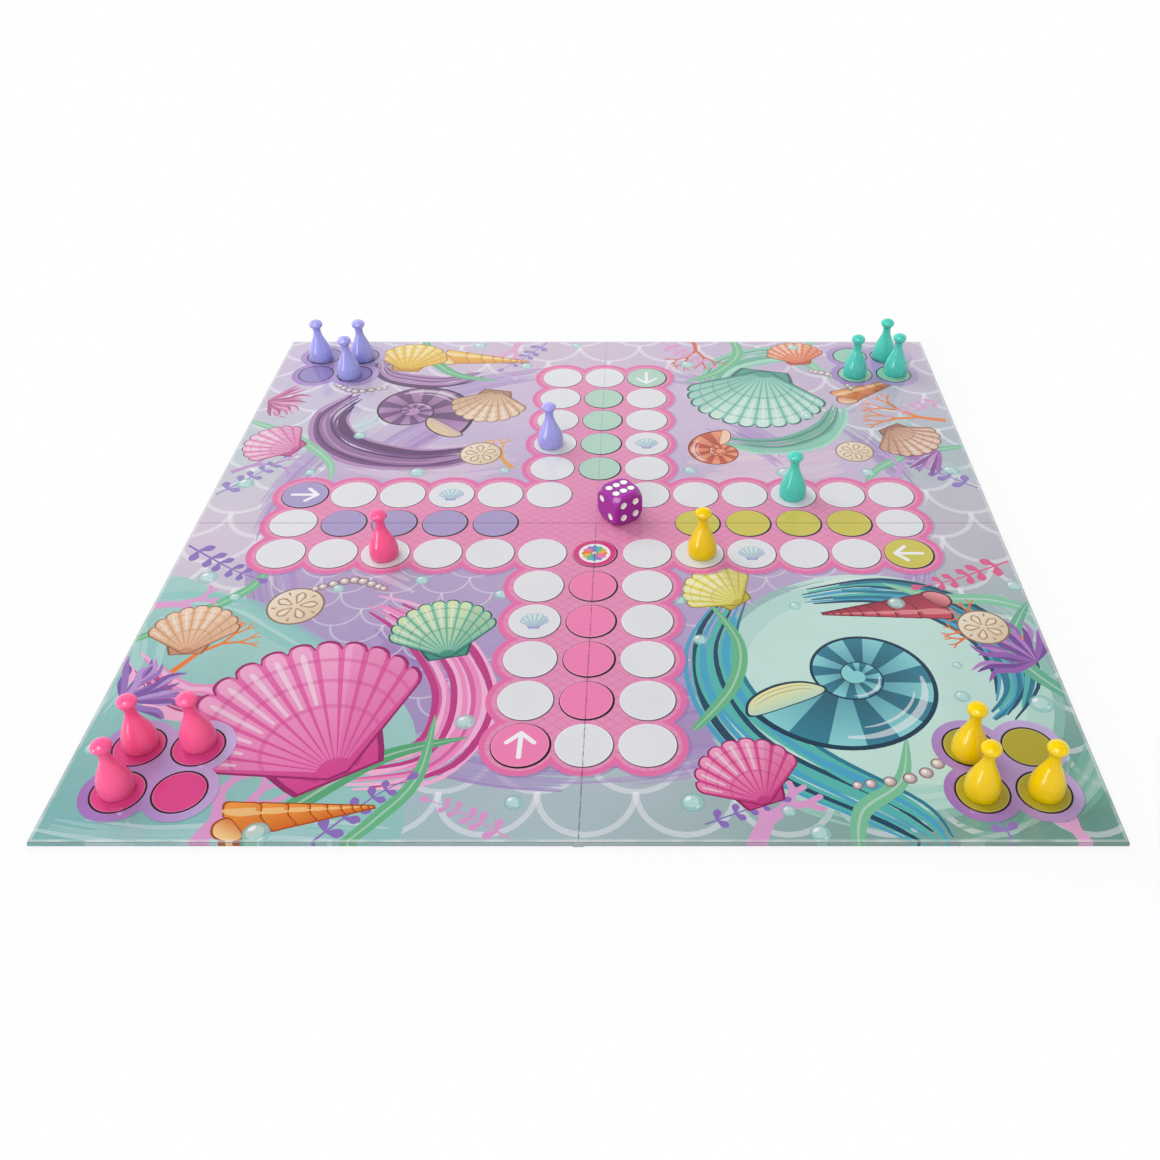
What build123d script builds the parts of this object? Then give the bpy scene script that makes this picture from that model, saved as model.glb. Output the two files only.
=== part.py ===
"""Folding race-game board with four sets of pawns and a die, in millimetres, +Z up.

The origin is the middle of the open board's underside. +X is to the right and +Y to the back.
The board is four panels in a chain: front left, rear left, rear right, front right. The two side
folds bend on the back, the rear fold bends on the printed face, and a slit parts the front panels.
"""
import os
from math import acos, cos, degrees, radians, sin, sqrt

from build123d import *

# Board
board_side = 380.0
core_thickness = 1.6
back_paper = 0.2
print_thickness = 0.2
turn_in = 12.0
liner_inset = 4.0
tape_reach = 10.0
rear_tape_thickness = 0.2

# Gaps between the panels
fold_gap = 0.4
crease_gap = 0.1
slit_gap = 0.6

# Printed track, which says where the pieces stand
track_cells = 13
track_margin = 34.0
home_inset_side = 34.4
home_inset_front = 34.0
home_inset_back = 30.5
home_pitch = 22.2

# Pawn
pawn_height = 24.8
base_radius = 6.4
base_round = 0.5
dish_radius = 4.2
dish_depth = 0.8
dish_draft = 0.5
belly_radius = 6.65
belly_height = 3.0
shoulder_radius = 4.9
shoulder_below_neck = 7.5
neck_radius = 2.2
neck_below_crown = 7.5
neck_round = 1.0
head_radius = 3.8
head_rise = 2.6

# Die
die_side = 16.0
die_edge_round = 1.2
die_sphere_radius = 11.4
die_turn = 36.0
die_back = 6.0
die_clearance = 0.5
pip_radius = 1.75
pip_thickness = 0.4
pip_sink = 0.12
pip_corner = 3.4
six_long = 4.2
six_wide = 2.9

# Levels and edges that follow from the sizes above
half_side = board_side / 2
core_bottom = back_paper
core_top = core_bottom + core_thickness
board_top = core_top + print_thickness
core_edge = half_side - print_thickness
liner_edge = half_side - liner_inset
turn_in_edge = core_edge - turn_in
cell_pitch = (board_side - 2 * track_margin) / track_cells
neck_height = pawn_height - neck_below_crown
shoulder_height = neck_height - shoulder_below_neck


def slab(x_from, x_to, y_from, y_to, z_from, z_to):
    """Block between two corners, given in any order."""
    block = Box(abs(x_to - x_from), abs(y_to - y_from), abs(z_to - z_from))
    return Pos((x_from + x_to) / 2, (y_from + y_to) / 2, (z_from + z_to) / 2) * block


def quarter(x_side, y_side, x_in, x_out, y_in, y_out, z_from, z_to):
    """Block in one quarter of the board, measured outwards from the folds."""
    return slab(x_side * x_in, x_side * x_out, y_side * y_in, y_side * y_out, z_from, z_to)


def inner_x(y_side, rear_gap):
    """Distance of a panel's inner side edge from the middle: the slit in front, the fold at the back."""
    if y_side < 0:
        return slit_gap / 2
    return rear_gap / 2


def panel_core(x_side, y_side):
    """Greyboard, cut away for the turned-in print and for the rear fold's tape."""
    x_in = inner_x(y_side, fold_gap)
    y_in = fold_gap / 2
    core = quarter(x_side, y_side, x_in, core_edge, y_in, core_edge, core_bottom, core_top)
    ledge = core_bottom + print_thickness
    core -= quarter(x_side, y_side, turn_in_edge, core_edge, y_in, core_edge, core_bottom, ledge)
    core -= quarter(x_side, y_side, x_in, core_edge, turn_in_edge, core_edge, core_bottom, ledge)
    if y_side > 0:
        seat = core_top - rear_tape_thickness
        core -= quarter(x_side, y_side, x_in, tape_reach, y_in, core_edge, seat, core_top)
    return core


def panel_print(x_side, y_side):
    """Printed sheet: the face, the wrap over both outer edges and the strips turned in at the back."""
    x_in = inner_x(y_side, crease_gap)
    y_in = fold_gap / 2
    ledge = core_bottom + print_thickness
    sheet = quarter(x_side, y_side, x_in, half_side, y_in, half_side, core_top, board_top)
    sheet += quarter(x_side, y_side, core_edge, half_side, y_in, half_side, core_bottom, core_top)
    sheet += quarter(x_side, y_side, x_in, core_edge, core_edge, half_side, core_bottom, core_top)
    sheet += quarter(x_side, y_side, turn_in_edge, core_edge, y_in, core_edge, core_bottom, ledge)
    sheet += quarter(x_side, y_side, x_in, turn_in_edge, turn_in_edge, core_edge, core_bottom, ledge)
    return sheet


def panel_liner(x_side, y_side):
    """Back paper, short of the outer edges and of the side fold's tape."""
    x_in = inner_x(y_side, fold_gap)
    return quarter(x_side, y_side, x_in, liner_edge, tape_reach, liner_edge, 0, back_paper)


def side_fold_tape(x_side, y_side):
    """One leaf of the tape that hinges a front panel to a rear panel, on the back."""
    x_in = inner_x(y_side, fold_gap)
    return quarter(x_side, y_side, x_in, liner_edge, fold_gap / 2, tape_reach, 0, back_paper)


def rear_fold_tape(x_side):
    """One leaf of the tape that hinges the rear panels, under the print."""
    seat = core_top - rear_tape_thickness
    return quarter(x_side, 1, fold_gap / 2, tape_reach, fold_gap / 2, core_edge, seat, core_top)


def pawn_shape():
    """Turned pawn with a dished foot, standing on its base at the origin."""
    head_centre = pawn_height - head_rise
    join_height = head_centre - head_rise * sqrt(1 - (neck_radius / head_radius) ** 2)
    join_angle = degrees(acos(neck_radius / head_radius))
    rim_radius = dish_radius + dish_draft
    with BuildPart() as pawn:
        with BuildSketch(Plane.XZ):
            with BuildLine():
                Polyline((0, dish_depth), (dish_radius, dish_depth), (rim_radius, 0), (base_radius - base_round, 0))
                TangentArc((base_radius - base_round, 0), (base_radius, base_round), tangent=(1, 0))
                TangentArc((belly_radius, belly_height), (base_radius, base_round), tangent=(0, -1))
                Spline(
                    (belly_radius, belly_height),
                    (shoulder_radius, shoulder_height),
                    (neck_radius, neck_height),
                    tangents=((0, 1), (0, 1)),
                )
                Line((neck_radius, neck_height), (neck_radius, join_height))
                EllipticalCenterArc((0, head_centre), head_radius, head_rise, -join_angle, arc_size=90 + join_angle)
                Line((0, pawn_height), (0, dish_depth))
            make_face()
        revolve(axis=Axis.Z)
        joins = [
            edge for edge in pawn.edges().filter_by(GeomType.CIRCLE)
            if abs(edge.radius - neck_radius) < 1e-6 and abs(edge.arc_center.Z - join_height) < 1e-6
        ]
        fillet(joins, neck_round)
    return pawn.part


def pip_layout(count):
    """Pip centres on a face, as (across, up) offsets from its middle."""
    corners = [(-pip_corner, pip_corner), (pip_corner, -pip_corner), (-pip_corner, -pip_corner), (pip_corner, pip_corner)]
    layouts = {
        1: [(0, 0)],
        2: corners[:2],
        3: corners[:2] + [(0, 0)],
        4: corners,
        5: corners + [(0, 0)],
        6: [(across, up) for across in (-six_long, 0, six_long) for up in (-six_wide, six_wide)],
    }
    return layouts[count]


def die_faces():
    """Planes of the die's six faces about its middle, each with its number of pips."""
    half = die_side / 2
    return [
        (Plane((0, 0, half), x_dir=(1, 0, 0), z_dir=(0, 0, 1)), 6),
        (Plane((0, 0, -half), x_dir=(1, 0, 0), z_dir=(0, 0, -1)), 1),
        (Plane((0, -half, 0), x_dir=(1, 0, 0), z_dir=(0, -1, 0)), 4),
        (Plane((0, half, 0), x_dir=(-1, 0, 0), z_dir=(0, 1, 0)), 3),
        (Plane((-half, 0, 0), x_dir=(0, -1, 0), z_dir=(-1, 0, 0)), 2),
        (Plane((half, 0, 0), x_dir=(0, 1, 0), z_dir=(1, 0, 0)), 5),
    ]


def pip_discs(depth_from, depth_to):
    """One disc for every pip, between two depths below its face."""
    discs = []
    middle = (depth_from + depth_to) / 2
    for plane, count in die_faces():
        for across, up in pip_layout(count):
            disc = Cylinder(pip_radius, depth_to - depth_from)
            discs.append(plane * Pos(across, up, -middle) * disc)
    return discs


def die_block():
    """Die with softened edges, corners turned off by a sphere and a recess for every pip."""
    cube = Box(die_side, die_side, die_side)
    block = fillet(cube.edges(), die_edge_round) & Sphere(die_sphere_radius)
    for recess in pip_discs(0, pip_sink + pip_thickness):
        block -= recess
    return block


def die_place():
    """The die stands on the rear right panel, just clear of the rear fold."""
    turn = radians(die_turn)
    reach = (die_side / 2 - die_edge_round) * (cos(turn) + sin(turn)) + die_edge_round
    return Pos(reach + die_clearance, die_back, board_top + die_side / 2) * Rot(0, 0, die_turn)


def cell(column, row, right=0.0, back=0.0):
    """Place in a track cell, counted from the middle of the cross, with a step off the cell's middle."""
    return column * cell_pitch + right, row * cell_pitch + back


def home(x_side, y_side, column, row, right=0.0, back=0.0):
    """Place in a corner home, with column and row of -1 or 1 inside its two by two, and a step off its middle."""
    y_inset = home_inset_back if y_side > 0 else home_inset_front
    x_middle = x_side * (half_side - home_inset_side)
    y_middle = y_side * (half_side - y_inset)
    return x_middle + column * home_pitch / 2 + right, y_middle + row * home_pitch / 2 + back


# Where each colour's pawns stand: one on the track and three at home, with one home place left empty.
# The last two numbers are how far a hand-placed pawn stands to the right and to the back of the middle.
pawn_places = {
    "purple": [
        cell(-1, 3, -2.2, -0.9),
        home(-1, 1, -1, 1, -0.9, -3.2),
        home(-1, 1, 1, 1, 1.3, -3.0),
        home(-1, 1, 1, -1, -2.4, -2.0),
    ],
    "teal": [
        cell(4, 1, -0.5, -0.5),
        home(1, 1, 1, 1, -2.6, -1.7),
        home(1, 1, -1, -1, -0.4, -0.3),
        home(1, 1, 1, -1, 1.1, 1.4),
    ],
    "pink": [
        cell(-4, -1, 0.0, -1.4),
        home(-1, -1, -1, -1, -0.5, 1.1),
        home(-1, -1, -1, 1, 0.6, 1.0),
        home(-1, -1, 1, 1, -0.1, 2.1),
    ],
    "yellow": [
        cell(2, -1, 1.2, 0.0),
        home(1, -1, -1, 1, -1.1, -3.1),
        home(1, -1, -1, -1, -0.6, 0.0),
        home(1, -1, 1, -1, 0.4, 0.1),
    ],
}
panel_sides = {"rear_left": (-1, 1), "rear_right": (1, 1), "front_left": (-1, -1), "front_right": (1, -1)}

nodes = {}
for panel, (x_side, y_side) in panel_sides.items():
    nodes[f"{panel}_core_board"] = panel_core(x_side, y_side)
    nodes[f"{panel}_print"] = panel_print(x_side, y_side)
    nodes[f"{panel}_back_liner"] = panel_liner(x_side, y_side)
for side_name, x_side in (("left", -1), ("right", 1)):
    nodes[f"{side_name}_fold_tape_rear_leaf"] = side_fold_tape(x_side, 1)
    nodes[f"{side_name}_fold_tape_front_leaf"] = side_fold_tape(x_side, -1)
    nodes[f"rear_fold_tape_{side_name}_leaf"] = rear_fold_tape(x_side)

pawn = pawn_shape()
for colour, places in pawn_places.items():
    for number, (x_place, y_place) in enumerate(places, start=1):
        nodes[f"{colour}_pawn_{number}"] = Pos(x_place, y_place, board_top) * pawn

nodes["die_body"] = die_place() * die_block()
nodes["die_pips"] = Compound(children=[die_place() * disc for disc in pip_discs(pip_sink, pip_sink + pip_thickness)])

os.makedirs("parts", exist_ok=True)
for name, shape in nodes.items():
    export_step(shape, f"parts/{name}.step")
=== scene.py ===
import itertools
import math
import random

import bpy
import numpy as np
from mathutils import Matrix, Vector
from mathutils.geometry import delaunay_2d_cdt


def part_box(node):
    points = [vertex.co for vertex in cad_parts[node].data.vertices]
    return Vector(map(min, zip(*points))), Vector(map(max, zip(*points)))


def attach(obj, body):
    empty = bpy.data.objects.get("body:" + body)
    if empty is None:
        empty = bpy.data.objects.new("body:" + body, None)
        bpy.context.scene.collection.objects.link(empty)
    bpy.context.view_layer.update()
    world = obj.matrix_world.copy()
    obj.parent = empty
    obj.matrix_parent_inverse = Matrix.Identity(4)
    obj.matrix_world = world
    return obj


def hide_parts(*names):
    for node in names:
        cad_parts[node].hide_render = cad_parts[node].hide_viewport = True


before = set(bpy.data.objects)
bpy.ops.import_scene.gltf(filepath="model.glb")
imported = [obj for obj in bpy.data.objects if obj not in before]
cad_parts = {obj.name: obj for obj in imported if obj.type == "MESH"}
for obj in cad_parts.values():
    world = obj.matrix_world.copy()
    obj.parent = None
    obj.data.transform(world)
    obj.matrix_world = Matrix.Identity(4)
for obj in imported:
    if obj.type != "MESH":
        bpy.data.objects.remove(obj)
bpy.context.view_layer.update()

# The print is drawn in millimetres on the open board, +X to the right and +Y to the back.
# Shapes are stacked in painter's order, cut into one flat tiling per panel, and coloured at its corners.
MM = 0.001
CIRCLE_STEPS = 44
ARC_STEP = 7.0
GRID_STEP = 7.0
POINTS_AT_ONCE = 4000
SAME_PLACE = 1e-6
TILE_JOIN = 1e-4
ON_EDGE = 1e-3


def mm_box(node):
    low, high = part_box(node)
    return [value / MM for value in low], [value / MM for value in high]


def mm_centre(node):
    low, high = mm_box(node)
    return (low[0] + high[0]) / 2, (low[1] + high[1]) / 2


# Places that follow the frame
HALF = mm_box("rear_right_print")[1][0]
TRACK_MARGIN = 34.0
TRACK_CELLS = 13
CELL = 2 * (HALF - TRACK_MARGIN) / TRACK_CELLS
HOME_PITCH = 22.2
HOME_SIDE = HALF - 34.4
HOME_FRONT = HALF - 34.0
HOME_BACK = HALF - 30.5

# Sizes of the printed track
CELL_RADIUS = 11.0
CELL_RIM = 0.45
LANE_RADIUS = 10.4
TRACK_RADIUS = 15.6
TRACK_RIM = 2.4
HOME_RADIUS = 9.4
HOME_LINE = 0.75
CLOVER_RADIUS = 13.8
OUTLINE_DROP = 0.35

# Inks
WHITE = "f7f7f9"
CELL_WHITE = "e7e7eb"
DARK = "1c0f17"
TRACK_PINK = "ea93bd"
TEAM = {"purple": "ac9ccb", "teal": "b5d8c6", "pink": "f684b7", "yellow": "d5c954"}


def ink(code):
    """Linear colour of a six-figure code."""
    values = np.array([int(code[k:k + 2], 16) for k in (0, 2, 4)]) / 255
    return np.where(values <= 0.04045, values / 12.92, ((values + 0.055) / 1.055) ** 2.4)


def mixed_ink(code_a, code_b, share):
    """Linear colour between two codes."""
    return ink(code_a) * (1 - share) + ink(code_b) * share


def flat(colour):
    colour = ink(colour) if isinstance(colour, str) else np.array(colour)

    def paint(x, y):
        return np.broadcast_to(colour, x.shape + (3,))
    return paint


def fade(code_a, code_b, start, end):
    """Straight blend from one point to another."""
    colour_a, colour_b = ink(code_a), ink(code_b)
    along = np.subtract(end, start)

    def paint(x, y):
        share = ((x - start[0]) * along[0] + (y - start[1]) * along[1]) / (along @ along)
        share = np.clip(share, 0, 1)[..., None]
        return colour_a * (1 - share) + colour_b * share
    return paint


# Tones of the bare print: a lilac ground with soft pools of other colours (x, y, spread, ink, strength)
GROUND = "d2bfd6"
POOLS = [
    (0, -208, 58, "b8c6ce", 1.0), (-110, -205, 60, "98bec0", 0.9), (110, -205, 60, "8cb3ac", 0.9),
    (-195, -150, 70, "85bfbf", 1.0), (195, -160, 72, "61998a", 1.0), (190, -85, 48, "93b9b4", 0.8),
    (-185, 62, 46, "bdd1d1", 0.95), (-185, -8, 38, "dac6da", 0.8), (178, 60, 44, "a9c1c4", 0.95),
    (180, 0, 38, "c9bfcc", 0.7), (0, 190, 70, "d4c0d5", 0.8), (110, 172, 45, "c4b0d1", 0.8),
    (-170, 150, 50, "cbbcd8", 0.7),
]


def ground(x, y):
    colour = np.broadcast_to(ink(GROUND), x.shape + (3,)).copy()
    for pool_x, pool_y, spread, code, strength in POOLS:
        share = strength * np.exp(-((x - pool_x) ** 2 + (y - pool_y) ** 2) / (2 * spread ** 2))
        colour += share[..., None] * (ink(code) - colour)
    return colour


class Shape:
    """One closed outline of the print, with its paint, its opacity and whether the net runs over it."""

    def __init__(self, outline, paint, opacity=1.0, net=0.0):
        self.points = np.array(outline, float)
        self.paint = paint
        self.opacity = opacity
        self.net = net
        self.low = self.points.min(0)
        self.high = self.points.max(0)

    def covers(self, x, y):
        """Which of the points lie inside, by counting turns round them."""
        start = self.points
        end = np.roll(start, -1, 0)
        run = end - start
        abreast = (x > self.low[0]) & (x < self.high[0])
        level = (y > self.low[1]) & (y < self.high[1])
        near = np.flatnonzero(abreast & level)
        inside = np.zeros(len(x), bool)
        for chunk in np.array_split(near, len(near) // POINTS_AT_ONCE + 1):
            px, py = x[chunk, None], y[chunk, None]
            side = run[:, 0] * (py - start[:, 1]) - (px - start[:, 0]) * run[:, 1]
            up = (start[:, 1] <= py) & (end[:, 1] > py) & (side > 0)
            down = (start[:, 1] > py) & (end[:, 1] <= py) & (side < 0)
            inside[chunk] = up.sum(1) != down.sum(1)
        return inside


art = []


def add(outline, paint, opacity=1.0, net=0.0):
    if not callable(paint):
        paint = flat(paint)
    art.append(Shape(outline, paint, opacity, net))


# Outlines
def circle(x, y, radius, steps=CIRCLE_STEPS):
    angles = np.linspace(0, 2 * math.pi, steps, endpoint=False)
    return [(x + radius * math.cos(a), y + radius * math.sin(a)) for a in angles]


def oval(x, y, long, wide, turn, steps):
    return placed([(long * px, wide * py) for px, py in circle(0, 0, 1, steps)], x, y, turn)


def placed(points, x, y, turn, scale=1.0):
    c, s = math.cos(math.radians(turn)) * scale, math.sin(math.radians(turn)) * scale
    return [(x + c * px - s * py, y + s * px + c * py) for px, py in points]


def arc(x, y, radius, start, end, steps):
    angles = np.radians(np.linspace(start, end, steps))
    return [(x + radius * math.cos(a), y + radius * math.sin(a)) for a in angles]


def smooth(points, steps, closed=True):
    """Curve through given points."""
    count = len(points)
    pts = [np.array(p, float) for p in points]
    line = []
    for k in range(count if closed else count - 1):
        if closed:
            p0, p1, p2, p3 = (pts[(k + i) % count] for i in (-1, 0, 1, 2))
        else:
            p0, p1, p2, p3 = (pts[min(max(k + i, 0), count - 1)] for i in (-1, 0, 1, 2))
        for t in np.linspace(0, 1, steps, endpoint=False):
            line.append(tuple(0.5 * (2 * p1 + (p2 - p0) * t + (2 * p0 - 5 * p1 + 4 * p2 - p3) * t ** 2
                                     + (3 * p1 - p0 - 3 * p2 + p3) * t ** 3)))
    if not closed:
        line.append(tuple(pts[-1]))
    return line


def curve_frame(points, steps=8):
    """Points along a curve, and the sideways direction at each."""
    line = np.array(smooth(points, steps, closed=False))
    along = np.gradient(line, axis=0)
    along /= np.linalg.norm(along, axis=1)[:, None]
    return line, np.stack([-along[:, 1], along[:, 0]], 1)


def stroke(points, width, steps=8):
    """Outline of a stroke along a curve, with its width as a function of the share of the way."""
    line, side = curve_frame(points, steps)
    half = np.array([width(t) / 2 for t in np.linspace(0, 1, len(line))])[:, None]
    left, right = line + side * half, line - side * half
    return [tuple(p) for p in right] + [tuple(p) for p in left[::-1]]


def capsule(start, end, width):
    """Straight bar with round ends."""
    angle = math.degrees(math.atan2(end[1] - start[1], end[0] - start[0]))
    cap = arc(*end, width / 2, angle - 90, angle + 90, 9)
    return cap + arc(*start, width / 2, angle + 90, angle + 270, 9)


def merged_circles(centres, radius):
    """Outer outline of a group of equal circles that overlap."""
    pieces = []
    for k, (x, y) in enumerate(centres):
        hidden = []
        for j, (other_x, other_y) in enumerate(centres):
            gap = math.hypot(other_x - x, other_y - y)
            if j != k and gap < 2 * radius:
                middle = math.degrees(math.atan2(other_y - y, other_x - x)) % 360
                half = math.degrees(math.acos(gap / (2 * radius)))
                hidden += [(middle - half + lap, middle + half + lap) for lap in (-360, 0, 360)]
        hidden.sort()
        reach = -360.0
        for start, end in hidden:
            if start > reach and 0 <= reach < 360:
                steps = max(3, int((start - reach) / ARC_STEP))
                pieces.append(arc(x, y, radius, reach, start, steps))
            reach = max(reach, end)
    loops = []
    while pieces:
        loop = pieces.pop(0)
        while True:
            nearest = min(pieces, key=lambda p: math.dist(p[0], loop[-1]), default=None)
            if nearest is None or math.dist(nearest[0], loop[-1]) > SAME_PLACE:
                break
            loop = loop + nearest[1:]
            pieces.remove(nearest)
        loops.append(loop)
    return max(loops, key=lambda p: np.ptp(np.array(p), axis=0).prod())


# Ornaments: those with chance in them take the next seed each
SEEDS = itertools.count(3, 2)
TUFT_ARMS = 17
TUFT_SPREAD = 66
SHORT_SPRIG = 32


def stamp(x, y, turn, size, round_steps=0):
    """Painter for outlines that are drawn about the origin at unit size, rounded where steps are given."""
    def lay(points, paint, opacity=1.0):
        outline = placed(points, x, y, turn, size)
        add(smooth(outline, round_steps) if round_steps else outline, paint, opacity)
    return lay


def tapered(width):
    return lambda t: width * max(0.04, math.sin(math.pi * min(1, 0.12 + 0.88 * t)) ** 0.8)


def pointed(width):
    return lambda t: width * max(0.03, math.sin(math.pi * (0.04 + 0.92 * t)) ** 0.6)


def streaks(points, width, codes, count, opacity, ragged=0.3, pinch=0.0):
    """Dry brush mark or bundle of weed: strokes side by side that start and end unevenly."""
    draw = random.Random(next(SEEDS))
    line, side = curve_frame(points)
    for k in range(count):
        offset = width * ((k + draw.uniform(0.2, 0.8)) / count - 0.5)
        shares = np.linspace(draw.uniform(0, ragged), 1 - draw.uniform(0, ragged), 6)
        path = []
        for share in shares:
            place = int(share * (len(line) - 1))
            gather = 1 - pinch * (1 - math.sin(math.pi * share))
            path.append(tuple(line[place] + side[place] * offset * gather))
        add(stroke(path, pointed(width / count * draw.uniform(0.9, 1.9)), 6), draw.choice(codes), opacity)


def kelp(points, width, code):
    """Blade of weed with a pale midrib."""
    add(stroke(points, tapered(width)), code)
    add(stroke(points, tapered(width * 0.16)), mixed_ink(code, WHITE, 0.3))


def leaf(x, y, length, turn, code, plump=0.34):
    side = [(0, 0), (0.32, plump * 0.62), (0.7, plump), (1, 0), (0.7, -plump), (0.32, -plump * 0.62)]
    add(smooth(placed(side, x, y, turn, length), 5), code)


def sprig(x, y, length, turn, code, bend):
    """Stem with pairs of round leaves and one at the tip."""
    pairs = 5 if length > SHORT_SPRIG else 4
    stem = placed([(0, 0), (0.35, bend * 0.35), (0.7, bend * 0.8), (1, bend * 1.6)], x, y, turn, length)
    add(stroke(stem, lambda t: length * 0.022 * (1.2 - 0.7 * t)), code)
    line = smooth(stem, 8, closed=False)
    for k in range(pairs):
        share = 0.2 + 0.72 * k / pairs
        here = line[int(share * (len(line) - 1))]
        ahead = line[int(share * (len(line) - 1)) + 1]
        heading = math.degrees(math.atan2(ahead[1] - here[1], ahead[0] - here[0]))
        for side in (-1, 1):
            leaf(*here, length * 0.17 * (1.1 - 0.5 * share), heading + side * 60, code, 0.3)
    leaf(*line[-2], length * 0.13, heading, code)


def coral(x, y, size, turn, code, spread, levels, thick):
    """Branching coral with round tips."""
    draw = random.Random(next(SEEDS))

    def branch(px, py, heading, length, width, level):
        bend = draw.uniform(-12, 12)
        mid = placed([(length / 2, 0)], px, py, heading)[0]
        end = placed([(length / 2, 0)], *mid, heading + bend)[0]
        add(stroke([(px, py), mid, end], lambda t: width * (1 - 0.25 * t), 4), code)
        add(circle(*end, width * 0.42, 14), code)
        if level:
            for side in (-1, 1):
                branch(*end, heading + bend + side * spread * draw.uniform(0.7, 1.25),
                       length * draw.uniform(0.66, 0.8), width * 0.74, level - 1)

    branch(x, y, turn, size * 0.34, size * thick, levels - 1)


def tuft(x, y, size, turn, codes):
    """Fan of soft curling arms from one foot."""
    draw = random.Random(next(SEEDS))
    for k in range(TUFT_ARMS):
        heading = turn + TUFT_SPREAD * (2 * k / (TUFT_ARMS - 1) - 1)
        bend = draw.uniform(-0.28, 0.28)
        path = [(0, 0), (0.4, bend * 0.4), (0.75, bend * 0.2), (1, bend)]
        path = placed(path, x, y, heading, size * draw.uniform(0.72, 1.0))
        add(stroke(path, tapered(size * 0.1), 5), codes[k % len(codes)])


def bubble(x, y, radius):
    add(circle(x, y, radius, 26), "5fa9a6", 0.45)
    add(circle(x, y, radius * 0.9, 24), "a5d8d2", 0.55)
    add(circle(x - radius * 0.1, y + radius * 0.1, radius * 0.62, 20), "d5efea", 0.5)
    add(oval(x - radius * 0.36, y + radius * 0.42, radius * 0.3, radius * 0.19, 40, 12), WHITE, 0.95)
    add(oval(x + radius * 0.42, y - radius * 0.44, radius * 0.22, radius * 0.1, 45, 10), WHITE, 0.6)


def pearl(x, y, radius):
    add(circle(x, y, radius, 22), "6b5560")
    add(circle(x, y, radius * 0.88, 22), "b39a9e")
    add(circle(x - radius * 0.1, y + radius * 0.1, radius * 0.66, 18), "d8c5c4")
    add(circle(x - radius * 0.22, y + radius * 0.24, radius * 0.34, 14), "f7f0ee")


def sand_dollar(x, y, radius, turn):
    """Flat round shell with five petals."""
    add(circle(x, y, radius, 40), "96705e")
    lit, shaded = (x - radius, y + radius), (x + radius, y - radius)
    add(circle(x, y, radius * 0.93, 40), fade("f3e8d6", "dcc2a0", lit, shaded))
    for k in range(5):
        for start, length, lean, code, plump in (
            (0.12, 0.64, 0, "b98f6c", 0.3), (0.2, 0.5, 0, "f0dfc6", 0.22), (0.62, 0.22, 36, "b98f6c", 0.2),
        ):
            heading = turn + 72 * k + lean
            foot = placed([(radius * start, 0)], x, y, heading)[0]
            leaf(*foot, radius * length, heading, code, plump)


def scallop(x, y, size, turn, tones, ribs):
    """Fan shell with ribs that swell at the rim: tones are edge line, hinge, rim and light."""
    line, deep, rim, light = tones
    lay = stamp(x, y, turn, size)
    fan = 57
    width = 2 * fan / ribs

    def point(angle, reach):
        return reach * math.sin(math.radians(angle)), reach * math.cos(math.radians(angle))

    def edge(angle):
        return 1 - 0.27 * (angle / fan) ** 2

    def rib(k, inner, share, outer=1.0):
        middle = -fan + (k + 0.5) * width
        half = width / 2 * share
        tip = []
        for t in np.linspace(-1, 1, 9):
            angle = middle + t * half
            tip.append(point(angle, outer * edge(angle) * (0.94 + 0.06 * math.sqrt(max(0, 1 - t * t)))))
        return tip + [point(middle + half, inner), point(middle - half, inner)]

    hinge, crown = placed([(0, 0), (0, 1)], x, y, turn, size)
    whole = [p for k in range(ribs) for p in rib(k, 0, 1.0)[:9]] + [(0.05, -0.01), (-0.05, -0.01)]
    ears = [(-0.2, -0.03), (0.2, -0.03), (0.23, 0.04), (0.27, 0.17), (0, 0.12), (-0.27, 0.17),
            (-0.23, 0.04)]
    lay([(1.12 * px, 1.06 * py - 0.015) for px, py in ears], line)
    lay(ears, fade(deep, rim, hinge, crown))
    for side in (-1, 1):
        lay(capsule((side * 0.1, 0.0), (side * 0.2, 0.1), 0.016), line, 0.5)
    lay([(1.035 * px, 1.035 * (py - 0.45) + 0.45) for px, py in whole], line)
    lay(whole, fade(deep, rim, hinge, crown))
    for k in range(ribs):
        lay(rib(k, 0.1, 0.74), fade(rim, light, hinge, crown), 0.85)
    for level in (0.5, 0.7, 0.87):
        sweep = [point(angle, level * edge(angle)) for angle in np.linspace(-fan, fan, 28)]
        inner = [point(angle, (level - 0.028) * edge(angle)) for angle in np.linspace(fan, -fan, 28)]
        lay(sweep + inner, deep, 0.42)
    for k in range(ribs):
        if k < ribs * 0.6:
            lay(rib(k, 0.5, 0.24, 0.93), WHITE, 0.42)
    shade = [point(angle, edge(angle) * 0.99) for angle in np.linspace(fan * 0.45, fan, 10)]
    lay(shade + [point(fan, 0.05), point(fan * 0.45, 0.05)], deep, 0.24)


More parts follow.
